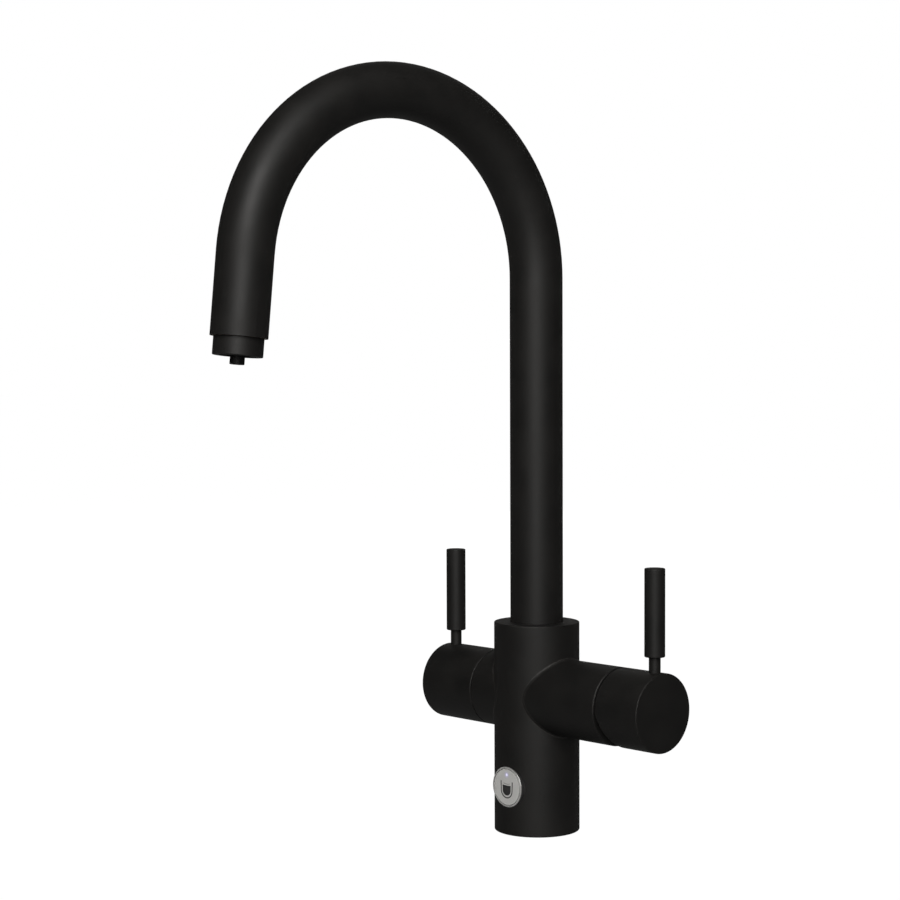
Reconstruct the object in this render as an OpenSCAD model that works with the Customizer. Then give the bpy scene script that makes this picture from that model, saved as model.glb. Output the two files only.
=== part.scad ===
// Boiling water tap with a swivelling J spout, a mixer valve on the right arm,
// a quarter-turn filtered-water valve on the left arm and a push button for
// boiling water low on the front of the body. Millimetres.
// The origin is the centre of the underside of the base. +Z is up, the button
// faces -Y, and the mixer arm points along +X.

/* [Body] */
// Outer diameter of the upright body
body_d = 50; // [48:0.5:54]
// Height of the upright body
body_h = 122.6; // [120:0.2:130]
// Rounding of the outer edges of the body and the handles
edge_r = 0.6; // [0.3:0.1:1]
// Height of the axis of both valve arms above the base
arm_z = 80.1; // [78:0.1:81]
// Diameter of the valve arms and their handles
arm_d = 44.8; // [44:0.2:47]

/* [Base] */
// Minor diameter of the M33 x 1.5 socket for the fixing shank
shank_d = 31.4; // [30:0.1:32]
// Depth of the shank socket
shank_h = 13; // [11:0.5:14]
// Inner diameter of the base seal
seal_in_d = 38; // [36:0.5:39]
// Outer diameter of the base seal
seal_out_d = 45; // [42:0.5:46]
// Thickness of the base seal
seal_h = 1.6; // [1:0.1:2.5]
// Pitch circle of the four hose ports
port_circle_d = 18; // [17:0.1:19]
// Minor diameter of an M10 x 1 hose port
port_d = 8.9; // [8:0.1:9.2]
// Thread depth of a hose port
port_h = 9; // [7:0.5:10]
// Diameter of the drilled water passages
passage_d = 5; // [3:0.2:5]

/* [Spout] */
// Outer diameter of the spout tube
tube_d = 30.8; // [29:0.2:33]
// Wall of the spout tube
tube_wall = 1.5; // [1:0.1:1.8]
// Radius of the arch along the middle of the tube
arch_r = 101.4; // [80:0.2:120]
// Height at which the arch springs from the riser
arch_z = 323; // [240:0.5:360]
// Turn of the arch, 180 for an outlet that points straight down
arch_angle = 174.3; // [150:0.1:178]
// Straight leg between the arch and the end of the tube
leg_l = 44.5; // [20:0.5:60]
// Turn of the resting spout from straight ahead, towards the left arm
spout_turn = 3.6; // [-15:0.1:15]
// Swivel of the spout to each side of straight ahead
swivel = 75; // [20:5:80]
// Depth of the spout socket in the top of the body
socket_h = 26.2; // [25:0.2:27]
// Outer diameter of the inner tube for filtered and boiling water
inner_d = 8; // [7:0.1:8.4]
// Wall of the inner tube
inner_wall = 1; // [0.6:0.1:1.2]

/* [Outlet] */
// Diameter of the collar that holds the aerator
collar_d = 26.8; // [26:0.2:28]
// Visible length of the collar
collar_l = 10; // [8:0.1:14]
// Diameter of the nozzle for filtered and boiling water
nozzle_d = 7.9; // [7:0.1:9]
// Length of the nozzle below the collar
nozzle_l = 4.4; // [2:0.1:8]
// Diameter of a hole in the aerator screen
screen_hole_d = 1.1; // [0.6:0.1:1.3]

/* [Mixer valve] */
// Length of the mixer sleeve beyond the body
mixer_sleeve_l = 41.2; // [40:0.2:50]
// Gap between the mixer sleeve and its handle
mixer_gap = 1.4; // [1:0.1:2]
// Length of the mixer handle
mixer_handle_l = 31.1; // [30:0.1:36]
// Slope of the relief cut under the mixer handle
relief_angle = 18.3; // [17.5:0.1:22]
// Outer diameter of the ceramic cartridge
cartridge_d = 35; // [34:0.2:35.4]
// Length of the cartridge up to its shoulder
cartridge_l = 26; // [26:0.2:28]

/* [Filtered-water valve] */
// Length of the left sleeve beyond the body
left_sleeve_l = 8; // [8:0.2:14]
// Gap between the left sleeve and its handle
left_gap = 0.6; // [0.4:0.1:1]
// Length of the left handle
left_handle_l = 42.1; // [41:0.1:50]
// Teeth of the valve spline
spline_teeth = 20; // [12:1:24]

/* [Levers] */
// Distance of a lever from the end face of its handle
lever_inset = 6.3; // [5.8:0.1:7]
// Diameter of a lever stem
stem_d = 6.6; // [5.6:0.1:7.4]
// Length of a stem between the handle and the grip
stem_l = 8.6; // [4:0.1:14]
// Diameter of a lever grip
grip_d = 11.6; // [9:0.1:14]
// Length of a lever grip
grip_l = 49.4; // [30:0.1:70]

/* [Button] */
// Diameter of the push button
button_d = 21.2; // [19:0.1:21.6]
// Height of the middle of the button
button_z = 28; // [27.4:0.1:30]
// Inset of the button face from the front of the body
button_inset = 0.1; // [0:0.1:0.8]
// Thickness of the button
button_t = 3.1; // [2.8:0.1:3.4]
// Travel of the button
button_travel = 0.8; // [0.4:0.1:0.9]
// Width of the bezel round the button
bezel_w = 1.25; // [1:0.05:1.6]
// Diameter of the light window
window_d = 1.8; // [1.2:0.1:2.4]
// Height of the light window above the middle of the button
window_up = 7.2; // [6:0.1:7.6]

/* [Hidden] */
$fn = 96;

// Clearances
run_gap = 0.08;   // between a part that turns or slides and its seat, on the radius
slip_gap = 0.05;  // between fixed parts that fit into each other, on the radius
film_gap = 0.03;  // between an elastic ring and the part that turns against it
end_gap = 0.3;    // between end faces that pass each other
over = 1;         // how far a cutter runs past the face that it opens

// Body and base
body_r = body_d / 2;
arm_r = arm_d / 2;
shank_r = shank_d / 2;
port_r = port_d / 2;
port_off = port_circle_d / 2 / sqrt(2);
port_top = shank_h + port_h;
passage_r = passage_d / 2;
branch_step = 0.2;
branch_r = passage_r - branch_step;
cable_r = 2;
cable_inset = 0.5;
cable_y = shank_r - cable_r - cable_inset;
grommet_wall = 0.6;
grommet_l = 3;

// Spout
lap = 0.5;
lap_step = 0.02;
tube_r = tube_d / 2;
tube_in_r = tube_r - tube_wall;
spigot_step = 1.1;
spigot_r = tube_in_r - spigot_step;
spigot_wall = 3.8;
spigot_hold = 12;
socket_r = spigot_r + run_gap;
socket_z = body_h - socket_h;
chamber_h = 3.4;
spigot_z = socket_z + chamber_h;
glide_t = 0.6;
tube_dip = 0.6;
tube_z = body_h - tube_dip;
glide_z = tube_z - glide_t;
rim_gap = 0.35;
rim_r = tube_r + rim_gap;
ring_cord = 2.2;
ring_room = 0.3;
ring_groove_h = ring_cord + ring_room;
ring_inset = 4;
ring_z = [spigot_z + ring_inset, glide_z - ring_inset];
stop_z = (ring_z[0] + ring_z[1]) / 2;
stop_tip_r = 1.5;
stop_depth = 2;
stop_room = 0.25;
stop_inset = 0.6;
stop_reach = 1;
inner_r = inner_d / 2;
bore_r = inner_r - inner_wall;
inner_seat_h = 7.3;
inner_seat_z = socket_z - inner_seat_h;
inner_ring_cord = 1.6;
inner_ring_up = 3.5;
inner_ring_z = inner_seat_z + inner_ring_up;
inner_ring_room = 0.1;
core_drop = 20;
core_z = arm_z - core_drop;
core_rise = 6;
core_dip = 3;
mixed_in = 3;
mixed_up = 1.6;
filtered_in = 1.5;
filtered_up = 1;
filtered_top = 4;

// Outlet, heights along the way that the water leaves, from the end of the tube
insert_t = 2;
insert_l = 13;
insert_lip = 2.2;
thread_l = 10;
washer_h = 2;
collar_r = collar_d / 2;
collar_wall = 1;
insert_r = tube_in_r - lap_step - slip_gap;
collar_out_r = insert_r - insert_t - slip_gap;
collar_in_r = collar_out_r - collar_wall;
lip_w = 0.8;
collar_edge = 0.5;
collar_root = 0.3;
washer_out = 0.9;
washer_in = 1.4;
lip_h = 1.5;
screen_t = 1.6;
cage_wall = 1.4;
cage_plate_h = 3;
cage_holes = 8;
cage_bridge = 0.4;
cage_hub = 1;
screen_counts = [14, 20, 26];
screen_margin = 0.6;
nozzle_r = nozzle_d / 2;
nozzle_start = -5;
nozzle_joint = 4;
nozzle_wall = 0.8;
nozzle_edge = 0.4;
cage_foot = collar_l - lip_h - screen_t;
cage_r = collar_in_r - slip_gap;
hub_in_r = max(nozzle_r, inner_r) + slip_gap;
hub_r = hub_in_r + cage_hub;

// Mixer valve, distances along the arm from the axis of the body
mixer_end = body_r + mixer_sleeve_l;
mixer_rim = mixer_end + mixer_gap;
pivot_inset = 0.1;
mixer_pivot = mixer_rim - pivot_inset;
mixer_face = mixer_rim + mixer_handle_l;
cartridge_r = cartridge_d / 2 - slip_gap;
cartridge_wall = 2.4;
cartridge_drop = 7.7;
cartridge_out = mixer_pivot - cartridge_drop;
cartridge_in = cartridge_out - cartridge_l;
nut_w = 1.5;
nut_r = cartridge_d / 2 + nut_w;
nut_in_r = 10.5;
nut_h = 4;
nut_slots = 6;
slot_l = 5;
slot_w = 3;
slot_h = 1.5;
cover_in = cartridge_out + nut_h;
cover_t = 1.6;
floor_t = 3;
disc_t = 4;
moving_t = 3.5;
carrier_t = 6;
cell_r = cartridge_r - cartridge_wall;
disc_z = cartridge_in + floor_t;
moving_z = disc_z + disc_t + film_gap;
carrier_z = moving_z + moving_t;
rotor_z = carrier_z + carrier_t + end_gap;
shoulder_t = 2;
rotor_shoulder = cartridge_out - shoulder_t - end_gap;
neck_r = 8.8;
neck_wall = 2.4;
neck_in_r = neck_r - neck_wall;
neck_up = 2.3;
neck_top = mixer_pivot + neck_up;
neck_edge = 0.5;
rotor_r = neck_in_r - run_gap;
rotor_up = 5;
rotor_top = mixer_pivot + rotor_up;
rotor_edge = 0.4;
rotor_flange_r = cell_r - run_gap;
moving_r = 11.8;
moving_margin = 0.2;
moving_off = cell_r - moving_r - moving_margin;
moving_lip = 4;
tilt_max = 16;
spindle_x = 6;
spindle_y = 7.4;
spindle_gap = 0.2;
waist_x = 4;
waist_drop = 5.5;
waist_z = mixer_pivot - waist_drop;
slot_z = waist_z - spindle_x / 2 * sin(tilt_max) - end_gap;
spindle_inset = 9;
spindle_top = mixer_face - spindle_inset;
tip_r = 2.6;
tip_up = 3.4;
tip_z = carrier_z + tip_up;
pin_r = 1.5;
pin_inset = 0.5;
handle_wall = 3;
hollow_r = arm_r - handle_wall;
mixer_web_up = 14.3;
mixer_web = mixer_pivot + mixer_web_up;
inlet_down = 8;
mixed_port_up = 10;
mix_ports = [[-inlet_down, port_off], [-inlet_down, -port_off], [mixed_port_up, 0]];
mix_port_r = 2.4;
mix_ring_cord = 1.4;
mix_ring_in = 0.1;

// Filtered-water valve, distances along the arm from the axis of the body
left_end = body_r + left_sleeve_l;
left_rim = left_end + left_gap;
left_face = left_rim + left_handle_l;
valve_l = 18;
valve_in = left_end - valve_l;
valve_r = 9;
valve_seal_t = 2;
valve_seal_out_r = 6.5;
valve_seal_in_r = 3;
valve_throat = 1;
valve_disc_r = 7.1;
valve_disc_t = 2.5;
valve_shaft_r = 4.2;
valve_hex_w = 22;
valve_hex_h = 6;
valve_edge = 0.5;
port_inset = 1.6;
port_half_web = 1.2;
valve_neck_r = 8;
valve_neck_l = 22;
valve_neck_end = left_end + valve_neck_l;
valve_window_in = 7.2;
valve_window_l = 4.8;
valve_window_w = 6;
valve_window_edge = 0.6;
valve_window = [valve_in + valve_window_in, valve_in + valve_window_in + valve_window_l];
chamber_w = 1.5;
chamber_r = valve_r + chamber_w;
left_web_up = 27.5;
left_web = left_end + left_web_up;
spline_r = 4;
spline_tooth = 0.5;
spline_gap = 0.1;
spline_l = 6;
spline_lap = 0.5;
spindle_end = left_web + spline_l;
guide_down = 2;
guide_up = 4;
guide_in = left_end - guide_down;
guide_out = left_end + guide_up;
guide_t = 2;
guide_room = 0.3;

// Levers
stem_r = stem_d / 2;
grip_r = grip_d / 2;
stud_r = 2.5;
stud_in = 6;
stud_up = 12;
stem_in = 5.5;
stem_seat = arm_r - stem_in;
stud_room = 0.5;
grip_z = arm_r + stem_l;
grub_r = 2.1;
grub_key = 2.5;
grub_key_h = 2;
grub_point = 0.4;
grub_edge = 0.3;
grub_inset = 2.5;
grub_end = arm_r - grub_inset;

// Button, distances from the axis of the body towards the front
button_r = button_d / 2;
button_face = body_r - button_inset;
button_back = button_face - button_t;
button_gap = 0.2;
button_edge = 0.3;
bezel_in_r = button_r + button_gap;
bezel_r = bezel_in_r + bezel_w;
bezel_step = 0.7;
bezel_flat = 0.25;
bezel_round = bezel_w - bezel_flat;
flange_t = 0.8;
flange_room = 0.1;
gasket_t = 0.4;
gasket_step = 0.5;
press_room = 0.2;
pocket_floor = button_back - button_travel - gasket_t - press_room;
bezel_back = pocket_floor + gasket_t;
pocket_r = bezel_r + slip_gap;
switch_r = 8;
switch_t = 4.5;
switch_drop = 7.8;
switch_edge = 0.3;
switch_back = pocket_floor - switch_drop;
switch_front = switch_back + switch_t;
plunger_r = 3;
plunger_end = switch_front + button_travel + press_room;
spring_r = 5;
spring_wire = 0.8;
spring_room = 0.1;
spring_turns = 3;
spring_sides = 6;
spring_steps = 24;

// ---------- Places ----------

// Along the right arm: local +Z points out of the arm, +X up and +Y to the front
module on_right_arm() {
    translate([0, 0, arm_z]) rotate([0, 90, 0]) rotate([0, 0, 180]) children();
}

// Along the left arm: local +Z points out of the arm, +X up and +Y to the back
module on_left_arm() {
    translate([0, 0, arm_z]) rotate([0, -90, 0]) children();
}

// In the button pocket: local +Z points to the front and local +Y up
module at_button() {
    translate([0, 0, button_z]) rotate([90, 0, 0]) children();
}

// In the frame of the spout, whose arch leans to -Y
module in_spout() {
    rotate([0, 0, -spout_turn]) children();
}

// At the end of the spout tube: local +Z points the way that the water leaves
module at_outlet() {
    in_spout()
        translate([0, -arch_r + arch_r * cos(arch_angle) - leg_l * sin(arch_angle),
                   arch_z + arch_r * sin(arch_angle) + leg_l * cos(arch_angle)])
            rotate([arch_angle, 0, 0]) children();
}

// Upright along a lever at distance x from the body's axis: local +Z points up from the arm's axis
module at_lever(x) {
    translate([x, 0, arm_z]) children();
}

// ---------- Shapes ----------

// A round bar from z0 to z1 with rounded edges at its low and high ends
module bar(r, z0, z1, low = 0, high = 0) {
    rotate_extrude() {
        translate([0, z0 + low]) square([r, z1 - z0 - low - high]);
        if (low > 0) {
            translate([0, z0]) square([r - low, 2 * low]);
            translate([r - low, z0 + low]) rounding(low);
        }
        if (high > 0) {
            translate([0, z1 - 2 * high]) square([r - high, 2 * high]);
            translate([r - high, z1 - high]) rounding(high);
        }
    }
}

// The round corner of a bar's outline
module rounding(r) {
    circle(r = r, $fn = 32);
}

// A plain round ring from z0 to z1
module ring(r_out, r_in, z0, z1) {
    translate([0, 0, z0]) rotate_extrude() translate([r_in, 0]) square([r_out - r_in, z1 - z0]);
}

// A hole or a plug from z0 to z1
module hole(r, z0, z1) {
    translate([0, 0, z0]) cylinder(r = r, h = z1 - z0);
}

// An O-ring with the given middle radius and cord diameter at height z
module o_ring(r, cord, z) {
    translate([0, 0, z]) rotate_extrude() translate([r, 0]) circle(d = cord, $fn = 32);
}

// A drilled passage between two points
module drilling(a, b, r) {
    v = b - a;
    translate(a) rotate([0, atan2(norm([v[0], v[1]]), v[2]), atan2(v[1], v[0])])
        cylinder(r = r, h = norm(v));
}

// A flat-sided block round the local Z axis
module block(x, y, z0, z1) {
    translate([-x / 2, -y / 2, z0]) cube([x, y, z1 - z0]);
}

// A round line that follows the middle of the spout, from height z0 to the end of the tube.
// The leg laps into the arch and is a hair thinner, so that the two join cleanly.
module spout_line(r, z0, past) {
    in_spout() {
        hole(r, z0, arch_z);
        translate([0, -arch_r, arch_z]) rotate([90, 0, 90])
            rotate_extrude(angle = arch_angle) translate([arch_r, 0]) circle(r = r);
    }
    at_outlet() hole(r - lap_step, -leg_l - lap, past);
}

// Outline of a spline with n square teeth
module spline_outline(n, r, tooth) {
    turns = [0, 0.3, 0.5, 0.8];
    polygon([for (i = [0 : n - 1], k = [0 : 3])
        let (a = 360 / n * (i + turns[k]), q = r + (k < 2 ? tooth : 0)) [q * cos(a), q * sin(a)]]);
}

// A grub screw with a hexagon socket in its outer end
module grub(r, z0, z1) {
    difference() {
        bar(r, z0, z1, grub_point, grub_edge);
        translate([0, 0, z1 - grub_key_h]) cylinder(d = grub_key, h = grub_key_h + over, $fn = 6);
    }
}

// A handle: a cup with its closed end outwards, bored for the lever stem and the grub screw
module handle_cup(rim, web, face, lever_x) {
    difference() {
        bar(arm_r, rim, face, edge_r, edge_r);
        hole(hollow_r, rim - over, web);
        translate([0, 0, lever_x]) rotate([0, 90, 0]) {
            hole(stem_r + slip_gap, stem_seat, arm_r + over);
            hole(stud_r + slip_gap, stem_seat - stud_in, stem_seat + over);
        }
    }
}

// A lever stem with a threaded stud at each end
module lever_stem() {
    bar(stem_r, stem_seat, grip_z, 0, 0);
    hole(stud_r, stem_seat - stud_in, stem_seat + over);
    hole(stud_r, grip_z - over, grip_z + stud_up);
}

// A lever grip, bored for the stud
module lever_grip() {
    difference() {
        bar(grip_r, grip_z, grip_z + grip_l, edge_r, edge_r);
        hole(stud_r + slip_gap, grip_z - over, grip_z + stud_up + stud_room);
    }
}

// ---------- Body and base ----------

module valve_body() {
    color("#1c1b1a") difference() {
        union() {
            bar(body_r, 0, body_h, edge_r, edge_r);
            on_right_arm() bar(arm_r, -left_end, mixer_end, edge_r, edge_r);
        }
        spout_seat();
        base_cuts();
        water_passages();
        on_right_arm() {
            hole(cartridge_d / 2, cartridge_in, mixer_end + over);
            hole(nut_r + slip_gap, cartridge_out, mixer_end + over);
        }
        on_left_arm() {
            hole(valve_r + slip_gap, valve_in, left_end + over);
            hole(chamber_r, valve_window[0], valve_window[1]);
            ring(hollow_r + guide_room, hollow_r - guide_t - guide_room, guide_in, left_end + over);
        }
        button_pocket();
    }
}

// The socket that the spout turns in, the seat of the inner tube and the hole of the stop screw
module spout_seat() {
    hole(socket_r, socket_z, body_h + over);
    hole(rim_r, glide_z, body_h + over);
    hole(inner_r + run_gap, inner_seat_z, socket_z + over);
    hole(inner_r + film_gap + inner_ring_cord, inner_ring_z - inner_ring_cord / 2 - inner_ring_room,
         inner_ring_z + inner_ring_cord / 2 + inner_ring_room);
    translate([0, 0, stop_z]) rotate([-90, 0, 0]) hole(grub_r + slip_gap, 0, body_r + over);
}

// The shank socket, the four hose ports, the cable hole and the groove of the base seal
module base_cuts() {
    hole(shank_r, -over, shank_h);
    for (x = [-port_off, port_off], y = [-port_off, port_off])
        translate([x, y, 0]) hole(port_r, shank_h - over, port_top);
    translate([0, -cable_y, 0]) hole(cable_r + grommet_wall, shank_h - over, button_z - switch_r + over);
    ring(seal_out_d / 2 + slip_gap, seal_in_d / 2 - slip_gap, -over, seal_h);
}

// Drilled ways from the ports to the valves and from the valves to the spout
module water_passages() {
    supply_z = arm_z - inlet_down;
    for (y = [-port_off, port_off]) {
        drilling([port_off, y, port_top - over], [port_off, y, supply_z], passage_r);
        drilling([port_off, y, supply_z], [cartridge_in + over, y, supply_z], branch_r);
    }
    drilling([cartridge_in + over, 0, arm_z + mixed_port_up], [spigot_r - mixed_in, 0, socket_z + mixed_up],
             branch_r);
    drilling([-port_off, port_off, port_top - over], [-port_off, port_off, arm_z], passage_r);
    drilling([-port_off, port_off, arm_z], [-valve_in - over, 0, arm_z], branch_r);
    drilling([-valve_window[0] - filtered_in, 0, arm_z + valve_r + filtered_up],
             [0, 0, arm_z + filtered_top], branch_r - 2 * branch_step);
    drilling([-port_off, -port_off, port_top - over], [-port_off, -port_off, core_z], passage_r);
    drilling([-port_off, -port_off, core_z], [0, 0, core_z + core_rise], branch_r);
    drilling([0, 0, core_z + core_rise - core_dip], [0, 0, inner_seat_z + over], passage_r);
}

module button_pocket() {
    at_button() {
        hole(pocket_r, pocket_floor, body_r + over);
        hole(switch_r, switch_back, pocket_floor + over);
    }
}

module base_seal() {
    color("#2a2a2a") ring(seal_out_d / 2, seal_in_d / 2, 0, seal_h);
}

module cable_grommet() {
    color("#2a2a2a") translate([0, -cable_y, shank_h])
        ring(cable_r + grommet_wall - slip_gap, cable_r, 0, grommet_l);
}

// The stop screw stands in the back of the body, with its tip in the groove of the spigot
module spout_stop_screw() {
    color("#8d8f92") translate([0, 0, stop_z]) rotate([-90, 0, 0]) {
        grub(grub_r, socket_r + stop_inset, body_r - stop_inset);
        hole(stop_tip_r, spigot_r - stop_depth + stop_room, socket_r + stop_inset + stop_reach);
    }
}

module inner_tube_seal() {
    color("#2a2a2a") o_ring(inner_r + film_gap + inner_ring_cord / 2, inner_ring_cord, inner_ring_z);
}

// ---------- Spout ----------

module spout_tube() {
    color("#1c1b1a") difference() {
        spout_line(tube_r, tube_z, 0);
        spout_line(tube_in_r, tube_z - over, over);
    }
}

// The brass foot of the spout, with O-ring grooves and the groove that limits the swivel
module spout_spigot() {
    stop_a = swivel + asin((stop_tip_r + stop_room) / (spigot_r - stop_depth));
    color("#b08d4f") in_spout() difference() {
        union() {
            bar(spigot_r, spigot_z, tube_z + over, edge_r, 0);
            hole(tube_in_r - slip_gap, tube_z, tube_z + spigot_hold);
        }
        hole(spigot_r - spigot_wall, spigot_z - over, tube_z + spigot_hold + over);
        for (z = ring_z)
            ring(spigot_r + over, socket_r - film_gap - ring_cord,
                 z - ring_groove_h / 2, z + ring_groove_h / 2);
        translate([0, 0, stop_z - stop_tip_r - stop_room]) rotate([0, 0, 90 - stop_a])
            rotate_extrude(angle = 2 * stop_a) translate([spigot_r - stop_depth, 0])
                square([stop_depth + over, 2 * (stop_tip_r + stop_room)]);
    }
}

module spout_o_rings() {
    color("#2a2a2a") for (z = ring_z) o_ring(socket_r - film_gap - ring_cord / 2, ring_cord, z);
}

module spout_glide_ring() {
    color("#e8e4da") ring(tube_r, spigot_r + slip_gap, glide_z, tube_z);
}

// The tube that carries filtered and boiling water from the body to the nozzle
module inner_tube() {
    color("#c9cbcd") difference() {
        union() {
            spout_line(inner_r, inner_seat_z + end_gap, -leg_l / 2);
            at_outlet() hole(inner_r, -leg_l / 2 - over, nozzle_start);
        }
        spout_line(bore_r, inner_seat_z - over, -leg_l / 2);
        at_outlet() hole(bore_r, -leg_l / 2 - over, nozzle_start + over);
    }
}

// ---------- Outlet ----------

module outlet_insert() {
    color("#b08d4f") at_outlet() difference() {
        hole(insert_r, -insert_l, 0);
        hole(insert_r - insert_t, -thread_l - washer_h, over);
        hole(insert_r - insert_t - insert_lip, -insert_l - over, over);
    }
}

module aerator_collar() {
    color("#1c1b1a") at_outlet() difference() {
        union() {
            bar(collar_r, 0, collar_l, collar_root, collar_edge);
            hole(collar_out_r, -thread_l, over);
        }
        hole(collar_in_r, -thread_l - over, collar_l - lip_h);
        hole(collar_in_r - lip_w, 0, collar_l + over);
    }
}

module aerator_washer() {
    color("#2a2a2a") at_outlet()
        ring(collar_in_r + washer_out, collar_in_r - washer_in, -thread_l - washer_h, -thread_l);
}

// The cage of the aerator: a ring and a hub joined by a drilled plate
module aerator_cage() {
    ring_in_r = cage_r - cage_wall;
    color("#e8e4da") at_outlet() difference() {
        ring(cage_r, hub_in_r, -thread_l, cage_foot);
        ring(ring_in_r, hub_r, cage_plate_h - thread_l, cage_foot + over);
        for (i = [0 : cage_holes - 1])
            rotate([0, 0, 360 / cage_holes * i]) translate([(ring_in_r + hub_r) / 2, 0, -thread_l])
                hole((ring_in_r - hub_r) / 2 - cage_bridge, -over, cage_plate_h + over);
    }
}

module aerator_screen() {
    first = hub_r + screen_margin;
    last = cage_r - cage_wall - screen_margin;
    step = (last - first) / (len(screen_counts) - 1);
    color("#d8d9da") at_outlet() difference() {
        ring(cage_r, hub_in_r, cage_foot, cage_foot + screen_t);
        for (row = [0 : len(screen_counts) - 1], i = [0 : screen_counts[row] - 1])
            rotate([0, 0, 360 / screen_counts[row] * i]) translate([first + step * row, 0, 0])
                hole(screen_hole_d / 2, cage_foot - over, cage_foot + screen_t + over);
    }
}

module outlet_nozzle() {
    color("#1c1b1a") at_outlet() difference() {
        union() {
            bar(nozzle_r, nozzle_start, collar_l + nozzle_l, 0, nozzle_edge);
            hole(bore_r - slip_gap, nozzle_start - nozzle_joint, nozzle_start + over);
        }
        hole(bore_r - slip_gap - nozzle_wall, nozzle_start - nozzle_joint - over,
             collar_l + nozzle_l + over);
    }
}

// ---------- Mixer cartridge ----------

// The foot of the cartridge, with its three ports and the seats of their seals
module cartridge_base() {
    color("#e8e4da") on_right_arm() difference() {
        hole(cartridge_r, cartridge_in, disc_z);
        for (p = mix_ports) translate([p[0], p[1], 0]) {
            hole(mix_port_r, cartridge_in - over, disc_z + over);
            hole(mix_port_r + mix_ring_cord + 2 * mix_ring_in, cartridge_in - over,
                 cartridge_in + mix_ring_cord);
        }
    }
}

module cartridge_port_seals() {
    color("#2a2a2a") on_right_arm() for (p = mix_ports)
        translate([p[0], p[1], 0])
            o_ring(mix_port_r + mix_ring_cord / 2 + mix_ring_in, mix_ring_cord,
                   cartridge_in + mix_ring_cord / 2);
}

module cartridge_housing() {
    color("#cfc9bb") on_right_arm() difference() {
        union() {
            hole(cartridge_r, disc_z, cartridge_out);
            bar(neck_r, cartridge_out - over, neck_top, 0, neck_edge);
        }
        hole(cell_r, disc_z - over, cartridge_out - shoulder_t);
        hole(neck_in_r, disc_z, neck_top + over);
    }
}

module mixer_fixed_disc() {
    color("#f4f3ef") on_right_arm() difference() {
        hole(cell_r - slip_gap, disc_z, disc_z + disc_t);
        for (p = mix_ports)
            translate([p[0], p[1], 0]) hole(mix_port_r, disc_z - over, disc_z + disc_t + over);
    }
}

// The moving disc has a pocket underneath that joins the ports as it slides and turns
module mixer_moving_disc() {
    color("#f4f3ef") on_right_arm() translate([-moving_off, 0, 0]) difference() {
        hole(moving_r, moving_z, moving_z + moving_t);
        hole(moving_r - moving_lip, moving_z - over, moving_z + moving_t / 2);
    }
}

module disc_carrier() {
    color("#3d3f42") on_right_arm() difference() {
        translate([-moving_off, 0, 0]) hole(moving_r, carrier_z, carrier_z + carrier_t);
        block(2 * (tip_r + spindle_gap), spindle_y + 2 * spindle_gap, carrier_z,
              carrier_z + carrier_t + over);
    }
}

// How far the tilting spindle leans sideways at a height below or above the pivot
function lean(dz) = abs(dz) * sin(tilt_max) + end_gap;

// The rotor turns in the neck and has a slot in which the spindle tilts
module mixer_rotor() {
    side = spindle_x / 2 / cos(tilt_max) + spindle_gap;
    waist_side = waist_x / 2 / cos(tilt_max) + spindle_gap;
    slot_y = spindle_y + 2 * spindle_gap;
    foot = rotor_z - over;
    head = rotor_top + over;
    color("#cfc9bb") on_right_arm() difference() {
        union() {
            hole(rotor_flange_r, rotor_z, rotor_shoulder);
            bar(rotor_r, rotor_shoulder - over, rotor_top, 0, rotor_edge);
        }
        rotate([90, 0, 0]) translate([0, 0, -slot_y / 2]) linear_extrude(slot_y)
            polygon([[-waist_side, foot], [waist_side + lean(mixer_pivot - foot), foot],
                     [waist_side + lean(mixer_pivot - slot_z), slot_z],
                     [side + lean(mixer_pivot - slot_z), slot_z],
                     [side, mixer_pivot], [side, head], [-side - lean(head - mixer_pivot), head],
                     [-side, mixer_pivot], [-side, slot_z], [-waist_side, slot_z]]);
        translate([0, 0, mixer_pivot]) rotate([90, 0, 0])
            hole(pin_r + slip_gap, -rotor_r - over, rotor_r + over);
    }
}

module mixer_tilt_pin() {
    color("#c9cbcd") on_right_arm() translate([0, 0, mixer_pivot]) rotate([90, 0, 0])
        hole(pin_r, -rotor_r + pin_inset, rotor_r - pin_inset);
}

// The spindle rocks on the pin and pushes the carrier with its round nose
module mixer_spindle() {
    color("#c9cbcd") on_right_arm() difference() {
        union() {
            block(spindle_x, spindle_y, waist_z, spindle_top);
            block(waist_x, spindle_y, tip_z, waist_z + over);
            translate([0, 0, tip_z]) rotate([90, 0, 0]) hole(tip_r, -spindle_y / 2, spindle_y / 2);
        }
        translate([0, 0, mixer_pivot]) rotate([90, 0, 0]) hole(pin_r + run_gap, -spindle_y, spindle_y);
    }
}

// The slotted ring nut that clamps the cartridge
module cartridge_nut() {
    color("#b08d4f") on_right_arm() difference() {
        ring(nut_r, nut_in_r, cartridge_out, cover_in);
        for (a = [0 : 360 / nut_slots : 359])
            rotate([0, 0, a]) translate([nut_r - slot_l, -slot_w / 2, cover_in - slot_h])
                cube([slot_l + over, slot_w, slot_h + over]);
    }
}

module cartridge_cover() {
    color("#26282a") on_right_arm() difference() {
        bar(nut_r - slip_gap, cover_in, cover_in + cover_t, 0, edge_r);
        hole(neck_r + slip_gap, cover_in - over, cover_in + cover_t + over);
    }
}

// ---------- Mixer handle ----------

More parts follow.
